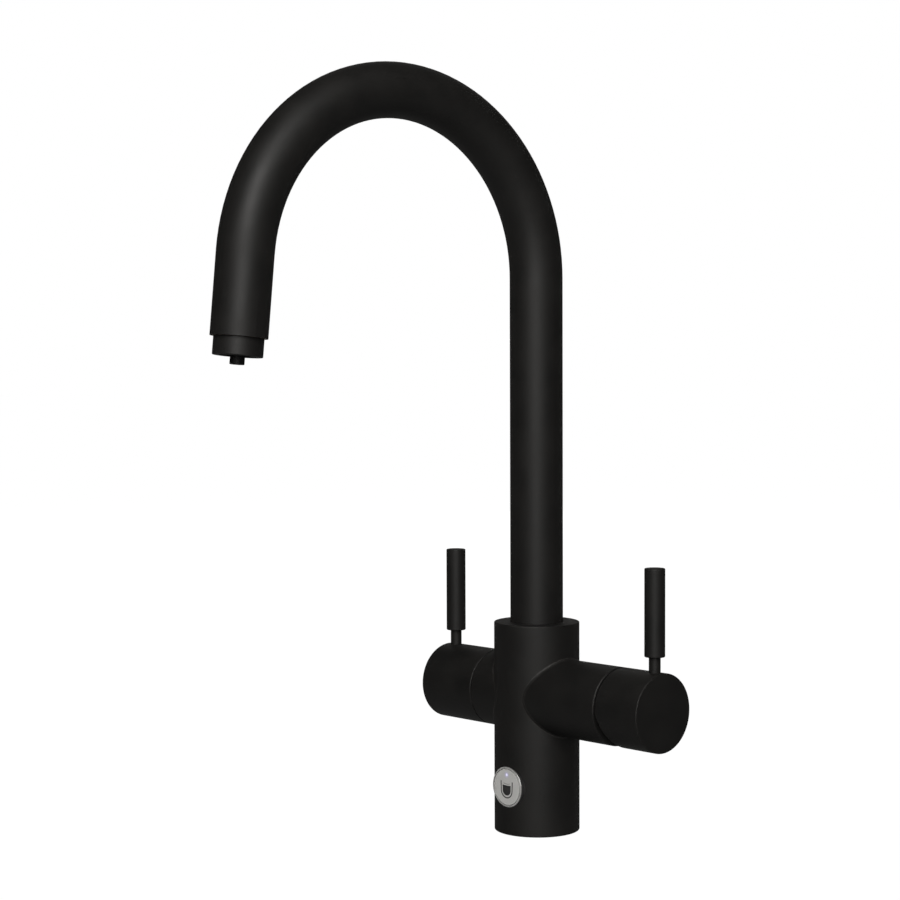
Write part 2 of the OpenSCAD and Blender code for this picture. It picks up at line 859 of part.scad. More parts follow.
// The handle is cut away below its axis, so that its lever can be pulled outwards
module mixer_handle() {
    color("#1c1b1a") on_right_arm() difference() {
        handle_cup(mixer_rim, mixer_web, mixer_face, mixer_face - lever_inset);
        translate([0, 0, mixer_rim]) rotate([0, relief_angle, 0])
            translate([-2 * arm_r, -2 * arm_r, -arm_r]) cube([2 * arm_r, 4 * arm_r, arm_r]);
        block(spindle_x + 2 * slip_gap, spindle_y + 2 * slip_gap, mixer_web - over, spindle_top + end_gap);
        translate([0, 0, grub_mid(mixer_web, spindle_top)]) rotate([0, -90, 0])
            hole(grub_r + slip_gap, 0, arm_r + over);
    }
}

// The middle of the stretch of a spindle that a grub screw presses on
function grub_mid(web, top) = (web + top) / 2;

module mixer_grub_screw() {
    color("#8d8f92") on_right_arm() translate([0, 0, grub_mid(mixer_web, spindle_top)]) rotate([0, -90, 0])
        grub(grub_r, spindle_x / 2, grub_end);
}

module mixer_lever_stem() {
    color("#1c1b1a") at_lever(mixer_face - lever_inset) lever_stem();
}

module mixer_lever_grip() {
    color("#1c1b1a") at_lever(mixer_face - lever_inset) lever_grip();
}

// ---------- Filtered-water valve ----------

// The quarter-turn valve: a nose with two windows, a hexagon and a neck
module left_valve_housing() {
    color("#b08d4f") on_left_arm() difference() {
        union() {
            hole(valve_r, valve_in + valve_seal_t, left_end + over);
            translate([0, 0, left_end]) cylinder(d = valve_hex_w / cos(30), h = valve_hex_h, $fn = 6);
            bar(valve_neck_r, left_end + over, valve_neck_end, 0, valve_edge);
        }
        hole(valve_disc_r + run_gap, valve_in + valve_throat, valve_window[1]);
        hole(valve_shaft_r + run_gap, valve_in, valve_neck_end + over);
        block(2 * chamber_r, valve_window_w, valve_window[0], valve_window[1] - valve_window_edge);
    }
}

module left_valve_seal() {
    color("#2a2a2a") on_left_arm()
        ring(valve_seal_out_r, valve_seal_in_r, valve_in, valve_in + valve_seal_t);
}

// A half-moon port on one side of a ceramic disc
module disc_port(r, z0, z1) {
    intersection() {
        hole(r - port_inset, z0, z1);
        translate([port_half_web, -r, z0]) cube([r, 2 * r, z1 - z0]);
    }
}

module left_fixed_disc() {
    z0 = valve_in + valve_seal_t;
    color("#f4f3ef") on_left_arm() difference() {
        hole(valve_disc_r, z0, z0 + valve_disc_t);
        for (a = [0, 180]) rotate([0, 0, a]) disc_port(valve_disc_r, z0 - over, z0 + valve_disc_t + over);
    }
}

module left_moving_disc() {
    z0 = valve_in + valve_seal_t + valve_disc_t + film_gap;
    color("#f4f3ef") on_left_arm() rotate([0, 0, 90]) difference() {
        hole(valve_disc_r, z0, z0 + valve_disc_t);
        for (a = [0, 180]) rotate([0, 0, a]) disc_port(valve_disc_r, z0 - over, z0 + valve_disc_t + over);
    }
}

module left_spindle() {
    z0 = valve_in + valve_seal_t + 2 * valve_disc_t + film_gap;
    color("#c9cbcd") on_left_arm() {
        hole(valve_disc_r, z0, valve_window[1] - run_gap);
        hole(valve_shaft_r, z0, valve_neck_end + spline_lap);
        translate([0, 0, valve_neck_end]) linear_extrude(spindle_end - valve_neck_end)
            spline_outline(spline_teeth, spline_r, spline_tooth);
    }
}

// The guide ring stands in the mouth of the sleeve and centres the handle
module left_guide_ring() {
    color("#26282a") on_left_arm() ring(hollow_r - run_gap, hollow_r - guide_t, guide_in, guide_out);
}

module left_handle() {
    color("#1c1b1a") on_left_arm() difference() {
        handle_cup(left_rim, left_web, left_face, left_face - lever_inset);
        translate([0, 0, left_web - over]) linear_extrude(spindle_end + end_gap - left_web + over)
            spline_outline(spline_teeth, spline_r + spline_gap, spline_tooth);
        translate([0, 0, grub_mid(left_web, spindle_end)]) rotate([0, -90, 0])
            hole(grub_r + slip_gap, 0, arm_r + over);
    }
}

module left_grub_screw() {
    color("#8d8f92") on_left_arm() translate([0, 0, grub_mid(left_web, spindle_end)]) rotate([0, -90, 0])
        grub(grub_r, spline_r + spline_tooth, grub_end);
}

module left_lever_stem() {
    color("#1c1b1a") at_lever(lever_inset - left_face) lever_stem();
}

module left_lever_grip() {
    color("#1c1b1a") at_lever(lever_inset - left_face) lever_grip();
}

// ---------- Button ----------

module button_gasket() {
    color("#2a2a2a") at_button() ring(bezel_r, switch_r + gasket_step, pocket_floor, bezel_back);
}

// The bezel holds the flange of the button behind its step
module button_bezel() {
    step_z = button_back + flange_t + flange_room;
    color("#b9babb") at_button() difference() {
        bar(bezel_r, bezel_back, button_face, 0, bezel_round);
        hole(bezel_in_r, bezel_back - over, button_face + over);
        hole(bezel_in_r + bezel_step, bezel_back - over, step_z);
    }
}

module button_cap() {
    color("#c4c4c2") at_button() difference() {
        union() {
            bar(button_r, button_back, button_face, 0, button_edge);
            hole(bezel_in_r + bezel_step - button_gap, button_back, button_back + flange_t);
            hole(plunger_r, plunger_end, button_back + over);
        }
        translate([0, window_up, 0]) hole(window_d / 2 + slip_gap, button_back - over, button_face + over);
    }
}

module button_window() {
    color("#dcd8f4") at_button() translate([0, window_up, 0]) hole(window_d / 2, button_back, button_face);
}

// Points of the spring's wire, ring by ring round the coil
function spring_points(z0, rise) = [for (i = [0 : spring_turns * spring_steps], k = [0 : spring_sides - 1])
    let (a = 360 * i / spring_steps, b = 360 * k / spring_sides, q = spring_r + spring_wire / 2 * cos(b))
    [q * cos(a), q * sin(a), z0 + rise * i / (spring_turns * spring_steps) + spring_wire / 2 * sin(b)]];

// Faces of a tube whose rings have n points, with flat ends
function tube_faces(rings, n) = concat(
    [for (i = [0 : rings - 2], k = [0 : n - 1], t = [0, 1])
        let (a = i * n + k, b = i * n + (k + 1) % n)
        t == 0 ? [a, a + n, b] : [b, a + n, b + n]],
    [for (k = [1 : n - 2]) [0, k, k + 1]],
    [for (k = [1 : n - 2]) let (e = (rings - 1) * n) [e, e + k + 1, e + k]]);

// The return spring, drawn as long as it is when the button is pressed
module button_spring() {
    z0 = switch_front + spring_wire / 2;
    z1 = button_back - button_travel - spring_wire / 2 - spring_room;
    color("#c9cbcd") at_button()
        polyhedron(spring_points(z0, z1 - z0), tube_faces(spring_turns * spring_steps + 1, spring_sides));
}

module button_switch() {
    color("#26282a") at_button()
        bar(switch_r - slip_gap, switch_back, switch_front, switch_edge, switch_edge);
}

valve_body();
base_seal();
cable_grommet();
spout_stop_screw();
inner_tube_seal();
spout_tube();
spout_spigot();
spout_o_rings();
spout_glide_ring();
inner_tube();
outlet_insert();
aerator_collar();
aerator_washer();
aerator_cage();
aerator_screen();
outlet_nozzle();
cartridge_base();
cartridge_port_seals();
cartridge_housing();
mixer_fixed_disc();
cartridge_nut();
cartridge_cover();
mixer_moving_disc();
disc_carrier();
mixer_rotor();
mixer_tilt_pin();
mixer_spindle();
mixer_handle();
mixer_grub_screw();
mixer_lever_stem();
mixer_lever_grip();
left_valve_housing();
left_valve_seal();
left_fixed_disc();
left_guide_ring();
left_moving_disc();
left_spindle();
left_handle();
left_grub_screw();
left_lever_stem();
left_lever_grip();
button_gasket();
button_bezel();
button_cap();
button_window();
button_spring();
button_switch();
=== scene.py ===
"""The looks of a boiling water tap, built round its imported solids.

The row frame is in metres, +Z up. The button looks along -Y, the spout leans to -Y and the
mixer arm points along +X. Shapes, centres and the viewpoint are given in millimetres, and a
mesh is put into metres as it is made. Grain, depths and edges of the finishes, the lights and
the floor are given in metres.
"""

import logging
import math
from dataclasses import dataclass
from enum import Enum

import bmesh
import bpy
import numpy as np
from mathutils import Matrix, Vector


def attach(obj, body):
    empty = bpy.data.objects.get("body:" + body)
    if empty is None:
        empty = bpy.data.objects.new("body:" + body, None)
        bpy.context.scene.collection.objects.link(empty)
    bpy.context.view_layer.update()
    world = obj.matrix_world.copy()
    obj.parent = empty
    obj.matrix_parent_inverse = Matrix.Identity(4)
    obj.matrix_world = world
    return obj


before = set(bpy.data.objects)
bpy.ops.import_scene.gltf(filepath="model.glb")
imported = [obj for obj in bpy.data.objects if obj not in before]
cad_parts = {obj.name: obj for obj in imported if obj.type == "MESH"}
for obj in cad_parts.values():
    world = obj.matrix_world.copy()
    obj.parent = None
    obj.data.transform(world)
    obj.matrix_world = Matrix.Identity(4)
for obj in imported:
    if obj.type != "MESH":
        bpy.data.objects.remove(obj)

LOG = logging.getLogger("tap")
MM = 0.001

Colour = tuple[float, float, float]
Point = tuple[float, float, float]
Span = tuple[float, float]
Socket = bpy.types.NodeSocket

# Most values of a noise lie between these two
NOISE_MOST: Span = (0.3, 0.7)
# 1 - cos of the turn of a rounded normal from the true one, where an edge starts and on its crest
EDGE_TURN: Span = (0.02, 0.16)
EDGE_SAMPLES = 4


class Axis(Enum):
    """The axis that a turned piece was cut round."""

    X = 0
    Y = 1
    Z = 2


class Slot(Enum):
    """The record's material slots that new pieces are listed with."""

    BLACK = "matte_black"
    BRASS = "brass"
    BUTTON = "button_satin"


# ---------- Meshes ----------


def grid_faces(rows: int, columns: int, wrap_rows: bool, wrap_columns: bool) -> np.ndarray:
    """Quads between the points of a grid: each joins a point to its neighbours in both directions.

    Args:
        rows: Number of points along the first parameter.
        columns: Number of points along the second parameter.
        wrap_rows: Whether the last row joins the first.
        wrap_columns: Whether the last column joins the first.

    Returns:
        An (n, 4) array of point numbers.
    """
    r = np.arange(rows if wrap_rows else rows - 1)
    c = np.arange(columns if wrap_columns else columns - 1)
    i, j = (a.ravel() for a in np.meshgrid(r, c, indexing="ij"))
    i2, j2 = (i + 1) % rows, (j + 1) % columns
    return np.stack([i * columns + j, i2 * columns + j, i2 * columns + j2, i * columns + j2], axis=1)


def make_piece(name: str, points: np.ndarray, faces: list, sharp_deg: float = 35.0) -> bpy.types.Object:
    """Makes a closed shell from points in millimetres, with its faces outwards and its sharp edges marked.

    Args:
        name: The piece's name.
        points: An (n, 3) array in millimetres.
        faces: Lists of point numbers.
        sharp_deg: Edges that bend by more than this stay crisp.

    Returns:
        The new object, at the origin.
    """
    mesh = bpy.data.meshes.new(name)
    mesh.from_pydata((points * MM).tolist(), [], faces)
    work = bmesh.new()
    work.from_mesh(mesh)
    bmesh.ops.recalc_face_normals(work, faces=work.faces)
    work.to_mesh(mesh)
    work.free()
    mesh.shade_smooth()
    mesh.set_sharp_from_angle(angle=math.radians(sharp_deg))
    piece = bpy.data.objects.new(name, mesh)
    bpy.context.scene.collection.objects.link(piece)
    return piece


def carried(name: str, loops: np.ndarray, closed: bool) -> bpy.types.Object:
    """A profile carried along a path: row i of loops is the closed profile at step i of the path.

    Args:
        name: The piece's name.
        loops: An (n, k, 3) array in millimetres.
        closed: Whether the path runs back into its start; otherwise each end gets a flat cap.

    Returns:
        The new object.
    """
    n, k, _ = loops.shape
    faces = grid_faces(n, k, closed, True).tolist()
    if not closed:
        faces += [list(range(k)), list(range((n - 1) * k, n * k))]
    return make_piece(name, loops.reshape(-1, 3), faces)


# ---------- Node trees ----------


class Graph:
    """A material's node tree, with one principled surface and short calls for what the finishes share."""

    def __init__(self, name: str) -> None:
        """Starts an empty tree with its surface, output and Object coordinates.

        Args:
            name: The material's name.
        """
        self.material = bpy.data.materials.new(name)
        self.material.use_nodes = True
        self.tree = self.material.node_tree
        self.tree.nodes.clear()
        self.output = self.add("ShaderNodeOutputMaterial")
        self.surface = self.add("ShaderNodeBsdfPrincipled")
        self.link(self.surface.outputs["BSDF"], self.output.inputs["Surface"])
        self.place = self.add("ShaderNodeTexCoord").outputs["Object"]

    def add(self, kind: str, **values: object) -> bpy.types.Node:
        """Adds a node and sets its own properties.

        Args:
            kind: Blender's name for the kind of node.
            **values: The node's properties.

        Returns:
            The new node.
        """
        node = self.tree.nodes.new(kind)
        for key, value in values.items():
            setattr(node, key, value)
        return node

    def link(self, source: Socket, target: Socket) -> None:
        """Joins two sockets."""
        self.tree.links.new(source, target)

    def feed(self, name: str, source: Socket) -> None:
        """Leads a value into the surface's socket of that name."""
        self.link(source, self.surface.inputs[name])

    def set(self, **values: object) -> None:
        """Sets the surface's own sockets: spaces in their names are written as underscores."""
        for key, value in values.items():
            self.surface.inputs[key.replace("_", " ")].default_value = value

    def noise(self, scale: float, detail: float = 2.0, place: Socket | None = None) -> Socket:
        """A noise from 0 to 1.

        Args:
            scale: Cells per metre.
            detail: Number of finer layers on top.
            place: The coordinates, or None for the Object coordinates.

        Returns:
            The noise's value.
        """
        node = self.add("ShaderNodeTexNoise")
        node.inputs["Scale"].default_value = scale
        node.inputs["Detail"].default_value = detail
        self.link(place or self.place, node.inputs["Vector"])
        return node.outputs["Fac"]

    def span(self, value: Socket, low: float, high: float, start: float = 0.0, end: float = 1.0) -> Socket:
        """Maps a value from start..end to low..high, held at both ends.

        Args:
            value: The value to map.
            low: The result at start.
            high: The result at end.
            start: Where the change starts.
            end: Where the change ends.

        Returns:
            The mapped value.
        """
        node = self.add("ShaderNodeMapRange")
        for key, number in (("From Min", start), ("From Max", end), ("To Min", low), ("To Max", high)):
            node.inputs[key].default_value = number
        self.link(value, node.inputs["Value"])
        return node.outputs["Result"]

    def math(self, operation: str, first: Socket | float, second: Socket | float = 0.0) -> Socket:
        """One sum of two numbers or sockets.

        Args:
            operation: Blender's name for the sum.
            first: The first number or socket.
            second: The second number or socket.

        Returns:
            The result.
        """
        node = self.add("ShaderNodeMath", operation=operation)
        for slot, value in zip(node.inputs, (first, second)):
            if isinstance(value, (int, float)):
                slot.default_value = value
            else:
                self.link(value, slot)
        return node.outputs["Value"]

    def blend(self, factor: Socket, first: Colour | Socket, second: Colour) -> Socket:
        """Mixes two colours.

        Args:
            factor: 0 for the first colour and 1 for the second.
            first: The first colour, or a socket that gives it.
            second: The second colour.

        Returns:
            The mixed colour.
        """
        node = self.add("ShaderNodeMix", data_type="RGBA")
        self.link(factor, node.inputs["Factor"])
        # A mix node keeps its two colours in sockets 6 and 7, and the mixed colour in output 2
        if isinstance(first, tuple):
            node.inputs[6].default_value = (*first, 1.0)
        else:
            self.link(first, node.inputs[6])
        node.inputs[7].default_value = (*second, 1.0)
        return node.outputs[2]

    def bump(self, height: Socket, depth: float, below: Socket | None = None) -> Socket:
        """A relief on the surface.

        Args:
            height: The relief, from 0 to 1.
            depth: Its depth in metres.
            below: The relief that this one lies on, if any.

        Returns:
            The bent normal.
        """
        node = self.add("ShaderNodeBump")
        node.inputs["Strength"].default_value = 1.0
        node.inputs["Distance"].default_value = depth
        self.link(height, node.inputs["Height"])
        if below is not None:
            self.link(below, node.inputs["Normal"])
        return node.outputs["Normal"]

    def edges(self, radius: float) -> Socket:
        """Finds the solid's edges by how far a rounded normal turns from the true one.

        Args:
            radius: Width of an edge in metres.

        Returns:
            1 on the edges and 0 on the faces.
        """
        rounded = self.add("ShaderNodeBevel", samples=EDGE_SAMPLES)
        rounded.inputs["Radius"].default_value = radius
        true = self.add("ShaderNodeNewGeometry").outputs["True Normal"]
        turn = self.add("ShaderNodeVectorMath", operation="DOT_PRODUCT")
        self.link(rounded.outputs["Normal"], turn.inputs[0])
        self.link(true, turn.inputs[1])
        return self.span(self.math("SUBTRACT", 1.0, turn.outputs["Value"]), 0.0, 1.0, *EDGE_TURN)

    def turned_place(self, axis: Axis, centre: Point) -> Socket:
        """Coordinates of a turned piece: the distance from its axis, the way along it, and nothing round it.

        Args:
            axis: The axis that the piece was cut round.
            centre: A point on that axis, in millimetres.

        Returns:
            The distance as X and the way along as Y, in metres.
        """
        shift = self.add("ShaderNodeMapping")
        shift.inputs["Location"].default_value = tuple(-c * MM for c in centre)
        self.link(self.place, shift.inputs["Vector"])
        split = self.add("ShaderNodeSeparateXYZ")
        self.link(shift.outputs["Vector"], split.inputs["Vector"])
        across = [split.outputs[i] for i in range(3) if i != axis.value]
        squares = [self.math("MULTIPLY", s, s) for s in across]
        radius = self.math("SQRT", self.math("ADD", *squares))
        joined = self.add("ShaderNodeCombineXYZ")
        self.link(radius, joined.inputs["X"])
        self.link(split.outputs[axis.value], joined.inputs["Y"])
        return joined.outputs["Vector"]

    def from_axis(self, turned: Socket) -> Socket:
        """The distance from the axis, taken out of a turned piece's coordinates.

        Args:
            turned: The coordinates that turned_place gives.

        Returns:
            The distance in metres.
        """
        split = self.add("ShaderNodeSeparateXYZ")
        self.link(turned, split.inputs["Vector"])
        return split.outputs["X"]


# ---------- Finishes ----------


@dataclass(frozen=True)
class PowderCoat:
    """Satin black coat: a fine orange peel over a fine grain, faint clouds, and edges a little worn:
    smoother, and lighter in patches, which is a painted edge highlight.
    """

    name: str = "satin_black_coat"
    colour: Colour = (0.0052, 0.0050, 0.0048)
    cloud_colour: Colour = (0.0074, 0.0070, 0.0065)
    # The lighter edges are a painted edge highlight, laid on in patches of wear.
    edge_highlight_colour: Colour = (0.024, 0.0225, 0.021)
    roughness: Span = (0.52, 0.60)
    specular: float = 0.27
    cloud_scale: float = 55.0
    peel_scale: float = 1400.0
    grain_scale: float = 6500.0
    peel_depth: float = 0.000012
    grain_depth: float = 0.000004
    edge_radius: float = 0.0005
    edge_polish: float = 0.10
    wear_scale: float = 420.0
    wear_noise: Span = (0.35, 0.65)
    wear: Span = (0.45, 1.0)

    def material(self) -> bpy.types.Material:
        """Builds the coat's node tree.

        Returns:
            The material.
        """
        g = Graph(self.name)
        cloud = g.noise(self.cloud_scale, detail=4.0)
        wear = g.span(g.noise(self.wear_scale, detail=3.0), *self.wear, *self.wear_noise)
        # Painted edge highlight: the edges lighten in patches of the wear noise, and the same mask makes them
        # smoother.
        worn_edge_highlight = g.math("MULTIPLY", g.edges(self.edge_radius), wear)
        tone = g.blend(g.span(cloud, 0.0, 1.0, *NOISE_MOST), self.colour, self.cloud_colour)
        g.feed("Base Color", g.blend(worn_edge_highlight, tone, self.edge_highlight_colour))
        polish = g.math("MULTIPLY", worn_edge_highlight, self.edge_polish)
        g.feed("Roughness", g.math("SUBTRACT", g.span(cloud, *self.roughness, *NOISE_MOST), polish))
        peel = g.bump(g.noise(self.peel_scale), self.peel_depth)
        g.feed("Normal", g.bump(g.noise(self.grain_scale, detail=1.0), self.grain_depth, below=peel))
        g.set(Specular_IOR_Level=self.specular)
        return g.material


@dataclass(frozen=True)
class TurnedMetal:
    """Bare metal with the fine rings that turning leaves, a dull cast in places and edges brightened as a
    painted edge highlight.
    """

    name: str
    colour: Colour
    dull_colour: Colour
    axis: Axis
    centre: Point
    roughness: Span = (0.22, 0.34)
    ring_scale: float = 9000.0
    ring_depth: float = 0.000005
    ring_roughness: Span = (-0.05, 0.05)
    cloud_scale: float = 180.0
    cloud_noise: Span = (0.35, 0.7)
    edge_radius: float = 0.0003
    edge_highlight_gain: float = 1.15

    def material(self) -> bpy.types.Material:
        """Builds the metal's node tree.

        Returns:
            The material.
        """
        g = Graph(self.name)
        rings = g.noise(self.ring_scale, detail=3.0, place=g.turned_place(self.axis, self.centre))
        cloud = g.span(g.noise(self.cloud_scale, detail=4.0), 0.0, 1.0, *self.cloud_noise)
        # The edges' brighter colour is a painted edge highlight.
        metal_edge_highlight = tuple(min(1.0, self.edge_highlight_gain * c) for c in self.colour)
        tone = g.blend(cloud, self.colour, self.dull_colour)
        g.feed("Base Color", g.blend(g.edges(self.edge_radius), tone, metal_edge_highlight))
        dull, ring = g.span(cloud, *self.roughness), g.span(rings, *self.ring_roughness)
        g.feed("Roughness", g.math("ADD", dull, ring))
        g.feed("Normal", g.bump(rings, self.ring_depth))
        g.set(Metallic=1.0)
        return g.material


@dataclass(frozen=True)
class Moulded:
    """Moulded plastic or rubber: a fine texture, a faint mottle and lighter edges, a painted edge highlight.
    """

    name: str
    colour: Colour
    mottle_colour: Colour
    roughness: Span
    texture_scale: float = 2600.0
    texture_depth: float = 0.000010
    speck_scale: float = 900.0
    speck_noise: Span = (0.4, 0.75)
    edge_radius: float = 0.0003
    edge_highlight_gain: float = 1.25
    edge_highlight_lift: float = 0.02

    def material(self) -> bpy.types.Material:
        """Builds the plastic's node tree.

        Returns:
            The material.
        """
        g = Graph(self.name)
        mottle = g.span(g.noise(self.speck_scale, detail=5.0), 0.0, 1.0, *self.speck_noise)
        # The lighter edges are a painted edge highlight.
        plastic_edge_highlight = tuple(min(1.0, self.edge_highlight_lift + self.edge_highlight_gain * c) for c in self.colour)
        tone = g.blend(mottle, self.colour, self.mottle_colour)
        g.feed("Base Color", g.blend(g.edges(self.edge_radius), tone, plastic_edge_highlight))
        g.feed("Roughness", g.span(mottle, *self.roughness))
        g.feed("Normal", g.bump(g.noise(self.texture_scale), self.texture_depth))
        return g.material


@dataclass(frozen=True)
class SatinFace:
    """The push button's satin silver: fine rings round its middle over a bead-blasted grain.

    The lamp's light on the metal round its window is a painted glow in the metal's colour, and the metal
    darkens towards its rim, where it meets the next piece, which is a painted shadow line.
    """

    name: str = "satin_silver"
    colour: Colour = (0.62, 0.62, 0.61)
    shade_colour: Colour = (0.56, 0.56, 0.55)
    edge_highlight_colour: Colour = (0.74, 0.74, 0.73)
    # Colour of the painted glow of the lamp's light on the metal.
    lamp_glow_colour: Colour = (0.62, 0.60, 0.80)
    roughness: Span = (0.42, 0.52)
    metallic: float = 0.3
    lamp: Point = (0.0, 0.0, 35.2)
    lamp_reach: Span = (0.0008, 0.0024)
    lamp_glow_share: float = 0.8
    # Painted shadow at the rim: on the cap, the shade of its gap to the bezel; on the bezel, where it meets
    # the body.
    shadow_rim: Span = (0.01035, 0.0106)
    shadow_rim_colour: Colour = (0.06, 0.06, 0.06)
    centre: Point = (0.0, 0.0, 28.0)
    ring_scale: float = 7000.0
    ring_depth: float = 0.000003
    grain_scale: float = 5200.0
    grain_depth: float = 0.000006
    edge_radius: float = 0.00025

    def material(self) -> bpy.types.Material:
        """Builds the face's node tree.

        Returns:
            The material.
        """
        g = Graph(self.name)
        turned = g.turned_place(Axis.Y, self.centre)
        rings, grain = g.noise(self.ring_scale, place=turned), g.noise(self.grain_scale)
        tone = g.blend(g.span(grain, 0.0, 1.0, *NOISE_MOST), self.colour, self.shade_colour)
        # The lighter edges are a painted edge highlight.
        face = g.blend(g.edges(self.edge_radius), tone, self.edge_highlight_colour)
        from_lamp = g.from_axis(g.turned_place(Axis.Y, self.lamp))
        # Painted glow: the lamp's light on the metal near the window, laid into the colour.
        lamp_glow = g.span(from_lamp, self.lamp_glow_share, 0.0, *self.lamp_reach)
        # Painted shadow line: the colour darkens towards the rim.
        shadow_rim = g.span(g.from_axis(turned), 0.0, 1.0, *self.shadow_rim)
        g.feed("Base Color", g.blend(shadow_rim, g.blend(lamp_glow, face, self.lamp_glow_colour), self.shadow_rim_colour))
        g.feed("Roughness", g.span(rings, *self.roughness, *NOISE_MOST))
        g.feed("Normal", g.bump(grain, self.grain_depth, below=g.bump(rings, self.ring_depth)))
        g.set(Metallic=self.metallic)
        return g.material


@dataclass(frozen=True)
class Glow:
    """A small frosted lens lit from behind in pale violet, brightest in its middle.

    Its radius is in millimetres.
    """

    name: str = "lit_lens"
    colour: Colour = (0.42, 0.41, 0.50)
    middle_colour: Colour = (0.5, 0.49, 0.56)
    light: Colour = (0.66, 0.64, 1.0)
    strength: float = 0.85
    rim_share: float = 0.35
    centre: Point = (0.0, 0.0, 35.2)
    radius: float = 0.9
    roughness: Span = (0.25, 0.4)
    frost_scale: float = 4000.0
    frost_depth: float = 0.000005

    def material(self) -> bpy.types.Material:
        """Builds the lens's node tree.

        Returns:
            The material.
        """
        g = Graph(self.name)
        away = g.from_axis(g.turned_place(Axis.Y, self.centre))
        middle = g.span(away, 1.0, self.rim_share, 0.0, self.radius * MM)
        frost = g.noise(self.frost_scale)
        g.feed("Base Color", g.blend(middle, self.colour, self.middle_colour))
        g.feed("Roughness", g.span(frost, *self.roughness))
        g.feed("Normal", g.bump(frost, self.frost_depth))
        g.set(Emission_Color=(*self.light, 1.0))
        g.feed("Emission Strength", g.math("MULTIPLY", middle, self.strength))
        return g.material


@dataclass(frozen=True)
class Ink:
    """Baked-on print: flat, with a faint unevenness from the screen."""

    name: str
    colour: Colour
    thin_colour: Colour
    roughness: Span = (0.38, 0.5)
    patch_scale: float = 1500.0
    patch_noise: Span = (0.4, 0.7)
    grain_scale: float = 5000.0
    grain_depth: float = 0.000003

    def material(self) -> bpy.types.Material:
        """Builds the print's node tree.

        Returns:
            The material.
        """
        g = Graph(self.name)
        patch = g.span(g.noise(self.patch_scale, detail=3.0), 0.0, 1.0, *self.patch_noise)
        g.feed("Base Color", g.blend(patch, self.colour, self.thin_colour))
        g.feed("Roughness", g.span(patch, *self.roughness))
        g.feed("Normal", g.bump(g.noise(self.grain_scale), self.grain_depth))
        return g.material


Finish = PowderCoat | TurnedMetal | Moulded | SatinFace | Glow | Ink

STEEL: Colour = (0.58, 0.585, 0.59)
STEEL_DULL: Colour = (0.46, 0.465, 0.475)
BRASS: Colour = (0.74, 0.56, 0.27)
BRASS_DULL: Colour = (0.55, 0.39, 0.18)

# A point on the axis of both arms, and one on the outlet's
ARM_AT: Point = (0.0, 0.0, 80.1)
OUTLET_AT: Point = (-12.7, -201.6, 0.0)


class Workshop:
    """Makes each finish's material once and puts it on pieces."""

    def __init__(self) -> None:
        """Starts with no material made."""
        self.made: dict[Finish, bpy.types.Material] = {}

    def material(self, finish: Finish) -> bpy.types.Material:
        """The finish's material, made at its first use.

        Args:
            finish: The finish.

        Returns:
            Its material.
        """
        if finish not in self.made:
            self.made[finish] = finish.material()
        return self.made[finish]

    def coat(self, piece: bpy.types.Object, finish: Finish) -> None:
        """Gives a piece one finish all over, and reports it.

        Args:
            piece: The piece.
            finish: Its finish.
        """
        piece.data.materials.clear()
        piece.data.materials.append(self.material(finish))
        LOG.info("%s: %s", piece.name, finish.name)

    def coat_nodes(self, finish: Finish, *names: str) -> None:
        """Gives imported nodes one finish."""
        for name in names:
            self.coat(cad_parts[name], finish)

    def add_piece(self, piece: bpy.types.Object, body: str, slot: Slot, finish: Finish) -> None:
        """Coats a new piece and lets it ride on a body.

        Args:
            piece: The new piece.
            body: The body that it moves with.
            slot: The record's material slot listed for it; not used.
            finish: Its finish.
        """
        self.coat(piece, finish)
        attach(piece, body)


# ---------- Shared shapes ----------


@dataclass(frozen=True)
class ThreadedBore:
    """The crest of a screw thread inside a drawn bore, which opens downwards."""

    name: str
    centre: tuple[float, float]
    radius: float
    bottom: float
    length: float
    pitch: float
    crest: float
    steps_per_turn: int = 48
    inset_turns: float = 0.75
    fade_turns: float = 0.8
    least_share: float = 0.06
    root_depth: float = 0.06
    half_share: float = 0.42

    def build(self) -> bpy.types.Object:
        """Carries a triangle up a helix. Its height fades in and out near both ends.

        At t turns the triangle is at angle 2 pi t and its middle at height bottom + pitch * (t + inset).
        Its crest stands in from the bore's wall by crest * fade, and its root lies behind the wall.

        Returns:
            The thread's piece.
        """
        turns = self.length / self.pitch - 2 * self.inset_turns
        t = np.linspace(0.0, turns, int(turns * self.steps_per_turn))
        fade = np.clip(np.minimum(t, turns - t) / self.fade_turns, self.least_share, 1.0)
        angle = 2 * np.pi * t
        height = self.bottom + self.pitch * (t + self.inset_turns)
        half = self.half_share * self.pitch
        root = np.full_like(t, self.radius + self.root_depth)
        radius = np.stack([root, self.radius - self.crest * fade, root], axis=1)
        rise = height[:, None] + np.array([-half, 0.0, half])
        x = self.centre[0] + radius * np.cos(angle)[:, None]
        y = self.centre[1] + radius * np.sin(angle)[:, None]
        return carried(self.name, np.stack([x, y, rise], axis=2), closed=False)


